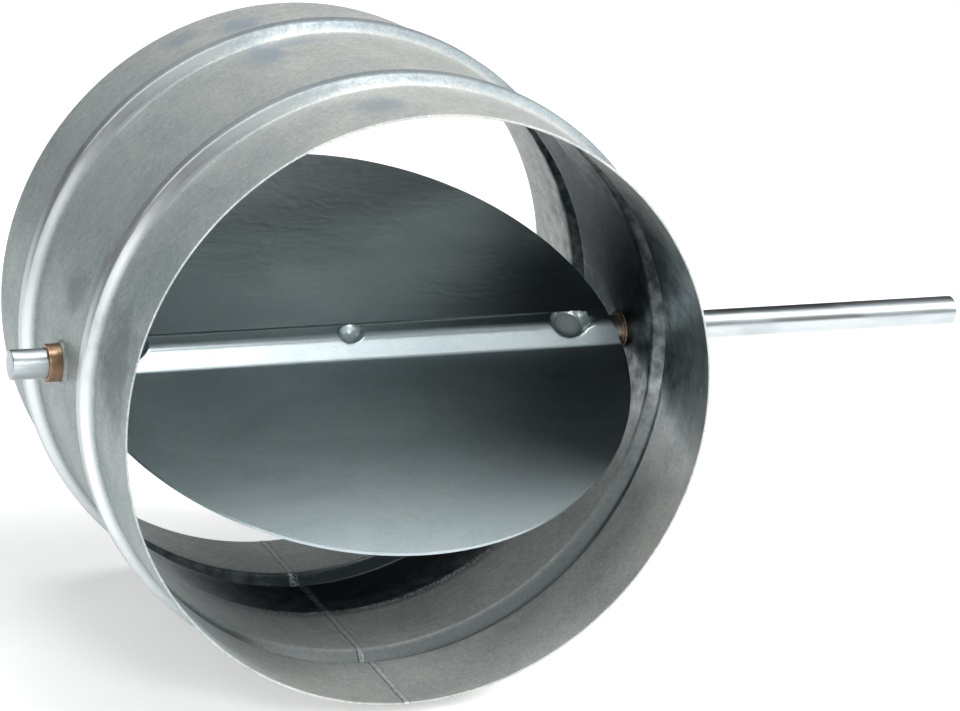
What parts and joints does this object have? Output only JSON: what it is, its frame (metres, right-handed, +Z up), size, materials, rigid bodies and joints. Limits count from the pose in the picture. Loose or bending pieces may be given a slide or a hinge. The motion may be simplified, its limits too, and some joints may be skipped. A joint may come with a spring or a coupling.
{
  "type": "duct air damper",
  "caption": "Round galvanised duct air damper: beaded sleeve with a flat butterfly blade pressed around a through shaft that turns in bronze bushes.",
  "frame": {"origin": "centre of the inlet rim, on the duct's axis", "axes": "+X along the shaft towards its long drive end, +Y along the duct from the inlet rim to the outlet rim, +Z up"},
  "size_m": [0.434, 0.222, 0.2616],
  "materials": {
    "casing_steel": "galvanised sheet, rolled, beaded and seam-welded, with a soft sheen",
    "blade_steel": "dark galvanised sheet with fine rolling marks",
    "shaft_steel": "bright zinc-plated round rod",
    "bearing_bronze": "sintered bronze, dull"
  },
  "bodies": {
    "casing_body": {"casing": "casing_steel", "bearing_short_end": "bearing_bronze", "bearing_drive_end": "bearing_bronze"},
    "blade_body": {"shaft": "shaft_steel", "blade_front_skin": "blade_steel", "blade_back_skin": "blade_steel"}
  },
  "joints": [
    {"name": "blade_turn", "type": "hinge", "parent": "casing_body", "child": "blade_body", "pos_m": [0, 0.096, 0], "axis": [1, 0, 0], "range_deg": [-26, 64]}
  ]
}
